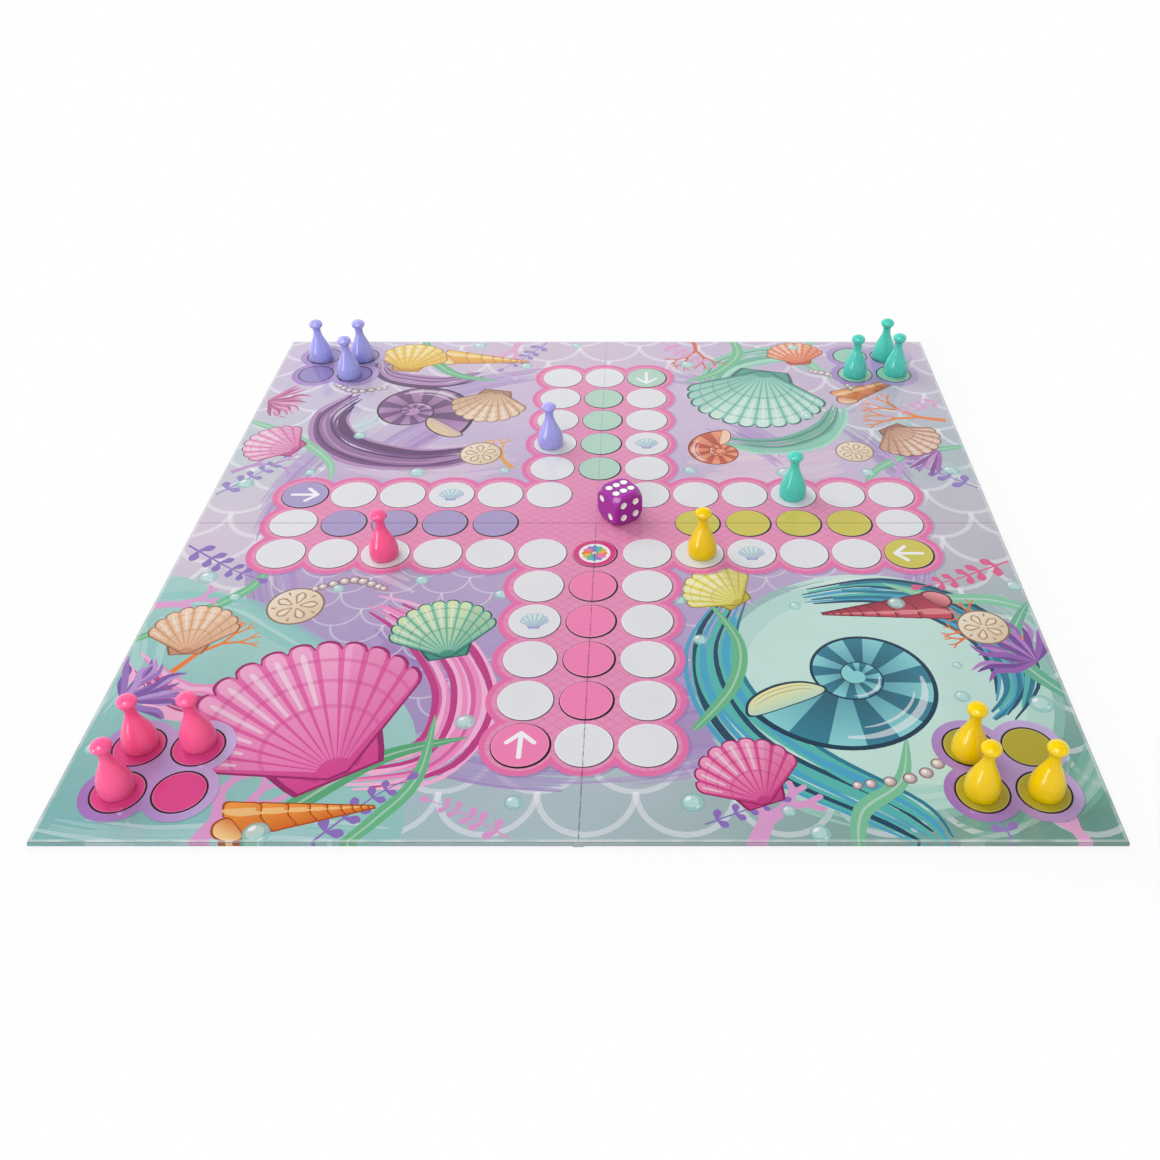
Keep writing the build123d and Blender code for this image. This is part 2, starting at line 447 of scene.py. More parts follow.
def nautilus(x, y, size, turn, tones):
    """Coiled shell with stripes: tones are edge line, two stripe colours and mouth."""
    line, deep, pale, mouth = tones
    lay = stamp(x, y, turn, size)
    stripes, turns, lean = 15, 1.75, 0.22
    growth = math.log(2.9) / (2 * math.pi)

    def point(angle, share=1.0):
        reach = share * math.exp(-growth * angle)
        return reach * math.cos(angle), reach * math.sin(angle)

    last = 2 * math.pi * turns
    lay([point(a, 1.04) for a in np.linspace(-0.05, 2 * math.pi, 64)], line)
    lay([point(a) for a in np.linspace(0, 2 * math.pi, 64)], pale)
    marks = np.linspace(0, last, stripes * 2 + 1)
    for k in range(stripes * 2):
        span = np.linspace(marks[k], marks[k + 1], 5)
        face = [point(a) for a in span] + [point(a + 2 * math.pi - lean) for a in span[::-1]]
        middle = placed([point(span[2])], x, y, turn, size)[0]
        colours = (deep, line) if k % 2 else (pale, deep)
        lay(face, fade(*colours, middle, (x, y)), 0.95)
    seam = [point(a) for a in np.linspace(0, last + math.pi, 90)]
    add(stroke(placed(seam, x, y, turn, size), lambda t: size * 0.032 * (1 - 0.8 * t), 2), line)
    for start, end, share, width in (
        (0.9, 2.7, 0.87, 0.075), (1.1, 2.3, 0.74, 0.03), (7.2, 8.9, 0.86, 0.028),
    ):
        gleam = [point(a, share) for a in np.linspace(start, end, 9)]
        add(stroke(placed(gleam, x, y, turn, size), pointed(size * width), 3), WHITE, 0.5)
    lip = [(1.03, 0.05), (1.02, -0.06), (0.9, -0.14), (0.68, -0.17), (0.47, -0.12), (0.34, 0.0),
           (0.4, 0.06), (0.7, 0.07)]
    outer, inner = placed([(0.68, -0.15), (0.68, 0.2)], x, y, turn, size)
    lay(smooth([(0.69 + 1.07 * (px - 0.69), 1.16 * py) for px, py in lip], 6), line)
    lay(smooth(lip, 6), fade(mouth, pale, outer, inner))
    for drop in (0.045, 0.09):
        rim = [(0.96, 0.0), (0.84, -0.035), (0.68, -0.045), (0.52, -0.02), (0.42, 0.03)]
        rim = [(px, py - drop) for px, py in rim]
        add(stroke(placed(rim, x, y, turn, size), pointed(size * 0.014), 4), deep, 0.45)


def auger(x, y, length, turn, tones):
    """Slim pointed shell with whorls: tones are edge line, shade, body and light."""
    line, deep, body, light = tones
    lay = stamp(x, y, turn, length, 4)
    whorls, girth, slant = 9, 0.3, 0.42
    levels = [1 - 0.8 ** k for k in range(whorls + 1)]
    levels = [level / levels[-1] * 0.98 for level in levels]

    def half(level):
        return girth / 2 * (1 - level) + 0.004

    def whorl(k, grow):
        low, high = levels[k] - grow, levels[k + 1] + grow
        middle = (low + high) / 2
        right, left = [], []
        for level, swell in ((low, 1.0), (middle, 1.1), (high, 0.98)):
            wide = half(level) * swell + grow
            right.append((wide, level + slant * wide))
            left.append((-wide, level - slant * wide))
        sag = 0.28 * half(low)
        return right + [(0, high - 0.28 * half(high))] + left[::-1] + [(0, low - sag)]

    for k in reversed(range(whorls)):
        shape = whorl(k, 0.0)
        left, right = placed([shape[5], shape[1]], x, y, turn, length)
        lay(whorl(k, 0.012), line)
        lay(shape, fade(body, deep, left, right))
        shift = half(levels[k]) * 0.42
        lay([(px * 0.26 - shift, py - slant * shift) for px, py in whorl(k, -0.006)], light, 0.65)
    mouth = [(0.55, 0.09), (0.62, 0.0), (0.42, -0.1), (0.1, -0.11), (-0.05, -0.03), (0.2, 0.04)]
    mouth = [(girth * px, py) for px, py in mouth]
    lay([(0.28 * girth + 1.16 * (px - 0.28 * girth), 1.16 * py) for px, py in mouth], line)
    outer, inner = placed([(0.5 * girth, -0.06), (0.02 * girth, 0.04)], x, y, turn, length)
    lay(mouth, fade(light, deep, outer, inner))


def scales(x_middle, y_from, x_reach, y_to, pitch, drop, width, opacity, keep):
    """Rows of hanging arcs, as fish scales: each row hangs from the bottoms of the row above it."""
    radius = pitch / 2
    columns = int(x_reach / pitch) + 1
    for row in range(int((y_to - y_from) / drop) + 1):
        y = y_from + row * drop
        for column in range(-columns, columns + 1):
            x = x_middle + column * pitch + (radius if row % 2 else 0)
            if keep(x, y - drop * 0.6):
                outer = arc(0, 0, radius + width / 2, 180, 360, 15)
                inner = arc(0, 0, radius - width / 2, 360, 180, 15)
                add([(x + px, y + py * drop / radius) for px, py in outer + inner], "f3f2f8", opacity)


# Sea background
SCALE_PITCH = 35.5
SCALE_DROP = 19.5
SCALE_FOOT = 3.4
SEABED = {
    "pink": ("c23a86", "de62a6", "ee8fc2", "f5b4d8"),
    "blue": ("1f4a63", "2b7d95", "4aa6c8", "57b8b0"),
    "plum": ("5b3468", "7a4a86", "95699c", "b58ab8"),
    "mint": ("4f9783", "6fb59c", "8cccb4", "a9dcc8"),
}


def draw_ground():
    foot, top = -HALF + SCALE_FOOT + SCALE_DROP, HALF + SCALE_DROP
    scales(2.0, foot, HALF, top, SCALE_PITCH, SCALE_DROP, 2.3, 0.45, lambda x, y: True)
    wash = [(radius * math.cos(turn), radius * math.sin(turn)) for turn, radius in (
        (math.radians(k * 20), 150 + 7 * math.sin(k * 2.3)) for k in range(18))]
    add(smooth(wash, 7), fade("a58bc0", "cfbcd8", (-20, -150), (30, 90)), 0.93)
    for points, width, codes in (
        ([(-152, -6), (-110, -14), (-60, -46)], 34, ("e2c8d9", "dcc6dc")),
        ([(42, 42), (82, 46), (128, 62)], 46, ("e2c8d9", "e6d0e0")),
        ([(-44, 60), (-84, 52), (-134, 66)], 36, ("dcc4da", "e0cbdd")),
        ([(44, 118), (70, 140), (120, 140)], 30, ("d6c2da", "dccade")),
    ):
        streaks(points, width, codes, 9, 0.6)
    for radius, start, end, width in (
        (158, 146, 186, 15), (150, 178, 222, 20), (160, 232, 278, 17), (158, 268, 306, 15),
        (152, 318, 352, 14), (157, 8, 38, 12), (150, 52, 78, 14), (154, 98, 142, 16),
        (126, 122, 158, 22), (118, 218, 246, 26), (122, 286, 316, 24), (112, 28, 58, 20),
    ):
        streaks(arc(0, 0, radius, start, end, 6), width, ("a07dbc", "ab8bc6", "b59acd"), 10, 0.62)
    scales(0, -152, 132, -30, 22, 11, 1.0, 0.34, lambda x, y: abs(x) > 34 and math.hypot(x, y) < 142)


def draw_washes():
    pool = [(-196, -52), (-160, -54), (-124, -78), (-88, -104), (-66, -132), (-64, -164),
            (-74, -196), (-196, -196)]
    add(smooth(pool, 7), fade("a5d0ca", "80bab8", (-110, -80), (-178, -178)), 0.96)
    streaks([(-196, -60), (-158, -60), (-122, -84), (-84, -112)], 13, ("b9dcd6", "8cc6c2"), 7, 0.7)
    streaks([(-192, -180), (-150, -187), (-100, -184), (-64, -188)], 9, ("c9dfe2", "a9cfd0"), 6, 0.6)
    streaks([(-188, -70), (-180, -100), (-186, -134)], 12, ("b4dad6", "8fc8c6"), 5, 0.6)
    for radius, code, opacity in ((70, "93c4b8", 0.75), (66, "b9ddd4", 0.95), (56, "c9e6de", 0.8)):
        add(circle(118, -110, radius, 60), code, opacity)
    for radius, start, end, width, code in (
        (76, 276, 334, 12, "6fae9a"), (84, 300, 350, 12, "7ab7a4"), (72, 196, 262, 9, "a4d3c6"),
        (78, 352, 412, 10, "8fc3b4"), (66, 60, 120, 7, "dcefe9"), (58, 236, 300, 8, "a9d8cb"),
    ):
        codes = (code, mixed_ink(code, WHITE, 0.25))
        streaks(arc(118, -110, radius, start, end, 6), width, codes, 7, 0.75)
    streaks([(-190, 84), (-158, 76), (-128, 92), (-112, 126)], 12, ("bdd6d6", "d3e2e2"), 7, 0.6)
    streaks([(190, 40), (166, 58), (158, 88), (168, 120)], 14, ("9cc4bf", "b4d2ce"), 7, 0.6)


def draw_strands():
    """Bundles of ribbon weed behind the large shells."""
    for points, width, tones, count in (
        ([(-96, -160), (-58, -152), (-48, -116), (-70, -78), (-98, -58)], 26, "pink", 13),
        ([(-104, -146), (-140, -124), (-164, -118), (-188, -92)], 20, "pink", 10),
        ([(62, -56), (50, -96), (66, -142), (112, -176), (126, -192)], 26, "blue", 14),
        ([(92, -56), (132, -52), (166, -76), (172, -112), (156, -132)], 22, "blue", 12),
        ([(-58, 66), (-94, 56), (-132, 68), (-148, 98), (-134, 126)], 24, "plum", 13),
        ([(-70, 150), (-92, 138), (-124, 146), (-132, 166)], 14, "plum", 8),
        ([(58, 128), (72, 160), (104, 172), (124, 152)], 20, "mint", 10),
        ([(130, 112), (120, 84), (92, 68), (60, 76)], 18, "mint", 10),
    ):
        streaks(points, width, SEABED[tones], count, 1.0, 0.16, 0.6)


def draw_plants():
    for points, width, code in (
        ([(-118, -194), (-100, -172), (-74, -150), (-44, -140)], 8, "58a977"),
        ([(-84, -194), (-72, -180), (-60, -160), (-58, -128)], 6, "6ab888"),
        ([(-192, -86), (-172, -70), (-150, -48), (-146, -24)], 6, "6fbf8e"),
        ([(42, -136), (58, -112), (62, -86), (50, -58)], 6, "6ab888"),
        ([(192, -66), (174, -58), (150, -56), (128, -46)], 7, "86c9a6"),
        ([(192, -120), (178, -100), (178, -80), (190, -58)], 8, "67b394"),
        ([(96, -194), (100, -176), (116, -162), (122, -140)], 7, "7cc39c"),
        ([(-192, 96), (-164, 80), (-140, 56), (-134, 36)], 6, "8fcaa8"),
        ([(-110, 194), (-104, 170), (-86, 148), (-60, 140)], 7, "6ab888"),
        ([(192, 70), (164, 62), (142, 48), (132, 30)], 6, "7fc39e"),
        ([(76, 194), (78, 172), (64, 150), (44, 138)], 7, "6fbf8e"),
        ([(126, 194), (118, 172), (126, 150), (144, 136)], 6, "8ccaa9"),
    ):
        kelp(points, width, code)
    for place in (
        (-132, -194, 44, 74, "df9bcd", 32, 4, 0.17), (60, -194, 44, 68, "e0a0cf", 32, 4, 0.17),
        (176, -194, 30, 104, "e5a9d2", 32, 3, 0.18), (-190, -62, 34, 10, "e0a0cf", 30, 4, 0.15),
        (-168, -104, 40, 58, "ee7d2c", 22, 5, 0.07), (184, -84, 40, 162, "e8763a", 24, 5, 0.07),
        (-44, 48, 34, 128, "e9a63e", 26, 5, 0.08), (186, 96, 44, 170, "ee7d2c", 26, 5, 0.08),
        (52, 190, 36, 282, "d9603c", 26, 5, 0.08), (-186, 44, 36, 40, "c48fcc", 26, 5, 0.09),
        (-52, 190, 34, 250, "e3a6d0", 30, 4, 0.14), (150, 40, 30, 70, "c9a0d4", 30, 4, 0.12),
    ):
        coral(*place)
    for place in (
        (-188, -18, 46, 318, "8f70bd", 0.1), (-92, -190, 40, 58, "8f70bd", -0.14),
        (-24, -188, 34, 140, "df9bcd", 0.12), (188, -30, 46, 214, "e0608f", -0.12),
        (150, -190, 34, 96, "9a7cc6", 0.12), (-188, 24, 42, 44, "9a86c6", 0.1),
        (-36, 188, 40, 244, "9a86c6", -0.1), (188, 30, 44, 146, "927ac2", -0.1),
        (34, 188, 40, 304, "df9bcd", 0.1), (-150, 188, 34, 300, "8f70bd", 0.1),
        (188, 118, 34, 200, "df9bcd", 0.1), (44, -182, 30, 30, "8f70bd", -0.1),
    ):
        sprig(*place)
    tuft(182, -98, 30, 128, ("7a4a9a", "9a62b4", "b682c8"))
    tuft(-182, -120, 28, 40, ("7f57a8", "9d74bf", "bb96d2"))
    tuft(-186, 118, 24, 350, ("b0528a", "cf74a8", "e6a0c6"))
    tuft(176, 64, 26, 190, ("8a4a96", "a86cb2", "c694ca"))


def draw_shells():
    scallop(-90, -158, 76, 32, ("9c2069", "d5438f", "ea70b1", "f7b4d8"), 13)
    scallop(-58, -94, 36, 14, ("1f5a55", "3f917f", "86cdb6", "eef0b4"), 11)
    scallop(-166, -92, 30, 4, ("8c5a48", "c98e6c", "e6b48c", "f6dcc0"), 9)
    auger(-122, -180, 50, 277, ("a84a12", "d96a1e", "f39a3e", "fbd592"))
    sand_dollar(-128, -62, 12.5, 10)
    nautilus(108, -106, 47, 205, ("163c52", "2b7d95", "8bd3d6", "f4e7a4"))
    auger(150, -62, 52, 96, ("6a1f33", "9c2f45", "c9485a", "ef9aa0"))
    scallop(64, -60, 28, 42, ("8a7a1c", "c2b23a", "e6dc6a", "faf6c0"), 9)
    scallop(66, -172, 32, 22, ("8c1f56", "c93a80", "e8559c", "f9b4d4"), 9)
    sand_dollar(166, -76, 11, 40)
    nautilus(-104, 106, 37, 318, ("3f2447", "7a4a86", "b98cba", "f1d9a0"))
    scallop(-60, 128, 34, 168, ("7c5a48", "b08468", "dcb08a", "f4dcc4"), 9)
    scallop(-158, 66, 30, 64, ("8c2a66", "c95a98", "e88fc0", "f8d2e6"), 9)
    auger(-92, 170, 48, 262, ("b06a14", "e09a2c", "f3c75a", "fbecb4"))
    scallop(-116, 153, 33, 352, ("9a6a10", "d79c18", "efc433", "fbe79a"), 9)
    sand_dollar(-62, 62, 11, 25)
    scallop(92, 150, 62, 166, ("23665c", "4ba08e", "90d2c0", "e2f5ea"), 13)
    scallop(154, 88, 30, 214, ("7c4a36", "a8705a", "d09a7c", "f0d2bc"), 9)
    nautilus(62, 64, 21, 80, ("8a2f1c", "d0553a", "f2a27c", "fae3c8"))
    auger(134, 122, 46, 300, ("8a3a1a", "c9622c", "ee9a54", "fbd9ac"))
    scallop(114, 161, 27, 8, ("8a2a14", "cb4c28", "ee7f4c", "fbc9a4"), 9)
    sand_dollar(132, 64, 10, 0)


def draw_pearls():
    for start, bend, end in (
        ((-122, -50), (-106, -44), (-92, -50)), ((142, -138), (126, -158), (100, -164)),
        ((-152, 136), (-140, 128), (-124, 132)), ((120, 152), (132, 146), (140, 132)),
    ):
        line = smooth([start, bend, end], 4, closed=False)
        for k, (x, y) in enumerate(line):
            pearl(x, y, 2.0 + 0.7 * math.sin(math.pi * k / (len(line) - 1)))
    for place in (
        (-172, -42, 4.6), (-112, -186, 5.2), (-46, -132, 4.2), (-112, -50, 3), (-24, -172, 3.4),
        (40, -172, 4.4), (84, -186, 4), (178, -122, 5), (132, -60, 4), (46, -84, 3.4), (186, -48, 3.6),
        (-176, 34, 4.6), (-146, 44, 3), (-76, 184, 4.2), (-46, 158, 3.8), (-128, 80, 3.6), (46, 46, 3.6),
        (48, 160, 4.4), (136, 44, 3.8), (178, 46, 4.2), (112, 100, 3), (-156, -56, 2.8), (-40, -54, 3.2),
        (38, -58, 3.2), (-48, 46, 3), (88, -62, 2.6), (112, 182, 3.6), (-18, 184, 3.2), (-92, 44, 4.4),
        (94, 44, 4.6), (-76, -44, 3.4), (74, -176, 2.8), (-184, -146, 3.4), (148, -118, 3.2),
        (150, -100, 2.2),
    ):
        bubble(*place)


# Track
def spot(x, y, radius, code, line, width, rim):
    """Round cell with a dark line that is heavier at the lower right, and a thin brighter rim."""
    add(circle(x + OUTLINE_DROP * 0.8, y - OUTLINE_DROP, radius + width), line)
    add(circle(x, y, radius), mixed_ink(code, WHITE, rim))
    add(circle(x, y, radius - CELL_RIM), code)


def arrow(x, y, turn):
    tail, tip = placed([(-6.2, 0), (6.2, 0)], x, y, turn)
    wing_a, wing_b = placed([(1.2, 5.2), (1.2, -5.2)], x, y, turn)
    for start in (tail, wing_a, wing_b):
        add(capsule(start, tip, 1.9), "f7f5f9")


def track_cells():
    """Cells of the cross, as steps from the middle: along each arm three abreast."""
    cells = []
    for step in range(1, 7):
        for side in (-1, 0, 1):
            cells += [(step, side), (-step, side), (side, step), (side, -step)]
    return sorted(set(cells))


LANES = {(-1, 0): "purple", (1, 0): "yellow", (0, 1): "teal", (0, -1): "pink"}
STARTS = {(-6, 1): ("purple", 0), (1, 6): ("teal", 270), (6, -1): ("yellow", 180), (-1, -6): ("pink", 90)}
KEEPSAKES = [(-3, 1), (1, 3), (3, -1), (-1, -3)]


def draw_track():
    cells = track_cells()
    centres = [(column * CELL, row * CELL) for column, row in cells + [(0, 0)]]
    shade = merged_circles(centres, TRACK_RADIUS + 0.4)
    add([(x + 0.6, y - 0.7) for x, y in shade], "8a62a6", 0.4)
    add(merged_circles(centres, TRACK_RADIUS), "ea72ab")
    add(merged_circles(centres, TRACK_RADIUS - TRACK_RIM), TRACK_PINK, 1.0, 1.0)
    for column, row in cells:
        x, y = column * CELL, row * CELL
        reach = max(abs(column), abs(row))
        middle = 0 in (column, row)
        if middle and 1 < reach < 6:
            heading = (int(np.sign(column)), int(np.sign(row)))
            spot(x, y, LANE_RADIUS, TEAM[LANES[heading]], DARK, 0.6, 0.1)
        elif (column, row) in STARTS:
            team, turn = STARTS[column, row]
            spot(x, y, CELL_RADIUS, TEAM[team], DARK, 0.6, 0.1)
            arrow(x, y, turn)
        elif not (middle and reach == 1):
            spot(x, y, CELL_RADIUS, CELL_WHITE, "6b5d68", 0.3, 0.7)
            if (column, row) in KEEPSAKES:
                scallop(x, y - 4.6, 9.6, 0, ("9a90c4", "a9a2d2", "a9d6d2", "dff0ee"), 7)
    draw_roundel(0, -CELL)


def draw_roundel(x, y):
    """Small round ornament in the lane's first place, next to the middle."""
    spot(x, y, 10.0, "d83a80", DARK, 0.4, 0.15)
    add(circle(x, y, 7.2), "f3f1f4")
    for k, code in enumerate(("ee7d2c", "e9b93e", "6fbf8e", "5aa9cf", "9a7cc6", "f07aa6") * 2):
        leaf(x, y, 6.0, 30 * k, code, 0.3)
    pearl(x, y, 1.7)


def draw_homes():
    homes = {"purple": (-1, 1), "teal": (1, 1), "pink": (-1, -1), "yellow": (1, -1)}
    inks = {"purple": "9484c0", "teal": "98d0b8", "pink": "e2458e", "yellow": "b8aa2c"}
    for team, (x_side, y_side) in homes.items():
        x, y = x_side * HOME_SIDE, HOME_BACK if y_side > 0 else -HOME_FRONT
        tones = ("a581c4", "c4aeda") if y_side > 0 else ("a674c2", "cab2de")
        half = HOME_PITCH / 2
        places = [(x + dx * half, y + dy * half) for dx in (-1, 1) for dy in (-1, 1)]
        clover = merged_circles(places + [(x, y)], CLOVER_RADIUS)
        add([(px + 0.5, py - 0.6) for px, py in clover], "6f5698", 0.35)
        add(clover, fade(*tones, (x - 26, y - 12), (x + 22, y + 14)))
        for px, py in places:
            add(circle(px, py, HOME_RADIUS + HOME_LINE), "1a1118")
            add(circle(px, py, HOME_RADIUS), mixed_ink(inks[team], WHITE, 0.12))
            add(circle(px, py, HOME_RADIUS - 0.4), inks[team])


def draw_print():
    draw_ground()
    draw_washes()
    draw_strands()
    draw_plants()
    draw_shells()
    draw_pearls()
    draw_track()
    draw_homes()


# Tiling
def tiling(outlines, low, high, grid_step):
    """Triangles of a rectangle, cut along every outline, with grid points to carry soft blends."""
    points, edges = [], []

    def ring(outline):
        first = len(points)
        points.extend(Vector((float(px), float(py))) for px, py in outline)
        edges.extend((first + k, first + (k + 1) % len(outline)) for k in range(len(outline)))

    for outline in outlines:
        ring(outline)
    x_steps = np.linspace(low[0], high[0], int((high[0] - low[0]) / grid_step) + 2)
    y_steps = np.linspace(low[1], high[1], int((high[1] - low[1]) / grid_step) + 2)
    frame_line = [(x, low[1]) for x in x_steps[:-1]] + [(high[0], y) for y in y_steps[:-1]]
    frame_line += [(x, high[1]) for x in x_steps[:0:-1]] + [(low[0], y) for y in y_steps[:0:-1]]
    ring(frame_line)
    points.extend(Vector((float(px), float(py))) for px in x_steps[1:-1] for py in y_steps[1:-1])
    verts, _, faces, _, _, _ = delaunay_2d_cdt(points, edges, [], 0, TILE_JOIN)
    coords = np.array([v[:2] for v in verts])
    triangles = np.array([f for f in faces if len(f) == 3])
    middle = coords[triangles].mean(1)
    keep = ((middle > np.array(low)) & (middle < np.array(high))).all(1)
    return coords, triangles[keep]


def printed_corners(coords, triangles, shapes):
    """Colour of every triangle corner, and whether the net runs over the triangle."""
    corners = coords[triangles]
    middle = corners.mean(1)
    colours = ground(corners[..., 0], corners[..., 1])
    net = np.zeros(len(triangles))
    for shape in shapes:
        inside = shape.covers(middle[:, 0], middle[:, 1])
        if inside.any():
            paint = shape.paint(corners[inside][..., 0], corners[inside][..., 1])
            colours[inside] += shape.opacity * (paint - colours[inside])
            net[inside] += shape.opacity * (shape.net - net[inside])
    return colours, net


def metres(points):
    return [(x * MM, y * MM, z * MM) for x, y, z in points]


def new_object(name, verts, faces, material):
    mesh = bpy.data.meshes.new(name)
    mesh.from_pydata(verts, [], faces)
    mesh.materials.append(material)
    mesh.update()
    piece = bpy.data.objects.new(name, mesh)
    bpy.context.scene.collection.objects.link(piece)
    return piece


# Printed panels
EDGE_ROUND = 0.9
PAPER = 0.2
TURN_IN = 12.0
FACE_CLEARANCE = 0.02
FOLD_GAP = 0.08
RAW_PAPER = "d9d4d2"


def panel_column(x, y, x_out, y_out, top, bottom):
    """Points down the wrapped edge at one place: round the edge, down, in along the back and up inside."""
    if not (x_out or y_out):
        return [(x, y, top), (x, y, top - PAPER)]
    profile = [(0, top)]
    for angle in range(15, 91, 15):
        turn = math.radians(angle)
        profile.append((EDGE_ROUND * math.sin(turn), top - EDGE_ROUND * (1 - math.cos(turn))))
    hem, lining = EDGE_ROUND - TURN_IN, EDGE_ROUND - PAPER
    profile += [(EDGE_ROUND, bottom), (hem, bottom), (hem, bottom + PAPER)]
    profile += [(lining, bottom + PAPER), (lining, top - PAPER)]
    return [(x + x_out * out, y + y_out * out, z) for out, z in profile]


def open_edges(triangles):
    """Edges with a triangle on one side only: for each start the end, the triangle and the corner."""
    ahead = {}
    for face, (a, b, c) in enumerate(triangles):
        for k, (start, end) in enumerate(((a, b), (b, c), (c, a))):
            ahead[start, end] = (face, k)
    return {start: (end, face, k) for (start, end), (face, k) in ahead.items() if (end, start) not in ahead}


def printed_panel(panel, material):
    """One panel's printed sheet as a closed shell, coloured at its corners."""
    low, high = mm_box(panel + "_print")
    x_side = 1 if high[0] > HALF / 2 else -1
    y_side = 1 if high[1] > HALF / 2 else -1
    face_low, face_high = [], []
    for axis, side in enumerate((x_side, y_side)):
        face_low.append(FOLD_GAP / 2 if side > 0 else low[axis] + EDGE_ROUND)
        face_high.append(high[axis] - EDGE_ROUND if side > 0 else -FOLD_GAP / 2)
    shapes = [s for s in art if (s.high > face_low).all() and (s.low < face_high).all()]
    coords, triangles = tiling([s.points for s in shapes], face_low, face_high, GRID_STEP)
    colours, net = printed_corners(coords, triangles, shapes)

    used, flat_index = np.unique(triangles, return_inverse=True)
    coords = coords[used]
    triangles = flat_index.reshape(-1, 3)
    top = high[2] - FACE_CLEARANCE
    verts = [(x, y, top) for x, y in coords]
    faces = [tuple(t) for t in triangles]
    loops = [colours.reshape(-1, 3)]
    alphas = [np.repeat(net, 3)]

    rim = open_edges(triangles)
    outer_x = face_high[0] if x_side > 0 else face_low[0]
    outer_y = face_high[1] if y_side > 0 else face_low[1]
    columns, outward = {}, {}
    for start in rim:
        x, y = coords[start]
        out = (x_side * (abs(x - outer_x) < ON_EDGE), y_side * (abs(y - outer_y) < ON_EDGE))
        points = panel_column(x, y, *out, top, low[2])
        outward[start] = out
        columns[start] = [start] + list(range(len(verts), len(verts) + len(points) - 1))
        verts.extend(points[1:])

    def wall(face, tones):
        faces.append(tuple(face))
        loops.append(np.array(tones))
        alphas.append(np.zeros(len(face)))

    raw = ink(RAW_PAPER)
    for start, (end, face, k) in rim.items():
        tone_a, tone_b = colours[face, k], colours[face, (k + 1) % 3]
        wrapped = any(p and p == q for p, q in zip(outward[start], outward[end]))
        near, far = columns[start], columns[end]
        if wrapped:
            for low_k in range(len(near) - 1):
                face = (far[low_k], near[low_k], near[low_k + 1], far[low_k + 1])
                wall(face, (tone_b, tone_a, tone_a, tone_b))
        else:
            wall((far[0], near[0], near[-1], far[-1]), [raw] * 4)
            for place, order in ((start, 1), (end, -1)):
                if len(columns[place]) > 2:
                    wall(columns[place][::order], [raw] * len(columns[place]))
    ring = [next(iter(rim))]
    while rim[ring[-1]][0] != ring[0]:
        ring.append(rim[ring[-1]][0])
    wall([columns[place][-1] for place in ring[::-1]], [raw] * len(ring))

    piece = new_object(panel + "_printed_sheet", metres(verts), faces, material)
    tint = piece.data.color_attributes.new("ink", "FLOAT_COLOR", "CORNER")
    values = np.column_stack([np.concatenate(loops), np.concatenate(alphas)])
    tint.data.foreach_set("color", values.astype(np.float32).ravel())
    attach(piece, panel)
    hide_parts(panel + "_print")


# Shader helpers
class Shader:
    """Small helper to lay out the nodes of a material or of the world."""

    def __init__(self, owner, surface):
        owner.use_nodes = True
        self.owner = owner
        self.tree = owner.node_tree
        self.surface = self.tree.nodes[surface]

    def node(self, kind, **settings):
        made = self.tree.nodes.new("ShaderNode" + kind)
        for key, value in settings.items():
            setattr(made, key, value)
        return made

    def feed(self, made, values):
        """Set or link inputs of a node, by their names or numbers, and give its outputs."""
        for key, value in values.items():
            if isinstance(value, bpy.types.NodeSocket):
                self.tree.links.new(value, made.inputs[key])
            elif isinstance(value, np.ndarray):
                made.inputs[key].default_value = (*value, 1.0)
            else:
                made.inputs[key].default_value = value
        return made.outputs

    def look(self, values):
        self.feed(self.surface, values)

    def place(self, space="Object"):
        return self.node("TexCoord").outputs[space]

    def apart(self, vector):
        return self.feed(self.node("SeparateXYZ"), {0: vector})

    def math(self, operation, first, second=0.0):
        return self.feed(self.node("Math", operation=operation), {0: first, 1: second})[0]

    def noise(self, scale, detail, vector=None):
        values = {"Vector": vector or self.place(), "Scale": scale, "Detail": detail}
        return self.feed(self.node("TexNoise"), values)["Fac"]

    def ranged(self, value, low, high, to_low, to_high):
        span = {"Value": value, "From Min": low, "From Max": high, "To Min": to_low, "To Max": to_high}
        return self.feed(self.node("MapRange"), span)["Result"]

    def blend(self, share, first, second, mode="MIX"):
        made = self.node("Mix", data_type="RGBA", blend_type=mode)
        return self.feed(made, {0: share, 6: first, 7: second})[2]

    def bump(self, height, strength, distance):
        values = {"Height": height, "Strength": strength, "Distance": distance}
        self.look({"Normal": self.feed(self.node("Bump"), values)["Normal"]})

    def mix(self, share, first, second, output):
        mixed = self.feed(self.node("MixShader"), {0: share, 1: first, 2: second})
        self.feed(self.tree.nodes[output], {"Surface": mixed[0]})


def surface_shader(name):
    return Shader(bpy.data.materials.new(name), "Principled BSDF")


# Finish of the print, with painted shade along the folds and the slit and a painted highlight and painted
# shade at the outer edges: the net and the folds in metres, the outer edges in millimetres from the rim
NET_PITCH = 0.0064
NET_SLOPE = 1.3
NET_WOBBLE = 0.14
NET_LINE = (0.445, 0.47)
NET_STRENGTH = 0.6
FOLD_LINE = 0.00005
# Width of the band of painted shade along the folds and the slit, and how dark it gets
CREASE_SHADE_WIDTH = 0.0004
CREASE_SHADE_STRENGTH = 0.7
FRAY_REACH = 0.0018
# Painted highlight on the rounded outer edges: its strongest share, then where it rises and falls in
# millimetres from the rim
EDGE_HIGHLIGHT_PEAK = 0.6
EDGE_HIGHLIGHT_RISE = (1.7, 1.1)
EDGE_HIGHLIGHT_FALL = (0.6, 0.1)
# Painted shade on the outer edges: where it sets in, in millimetres from the rim, and its strength on the
# side faces
EDGE_TURN = (0.1, 0.02)
EDGE_SIDE_SHADE = 0.8


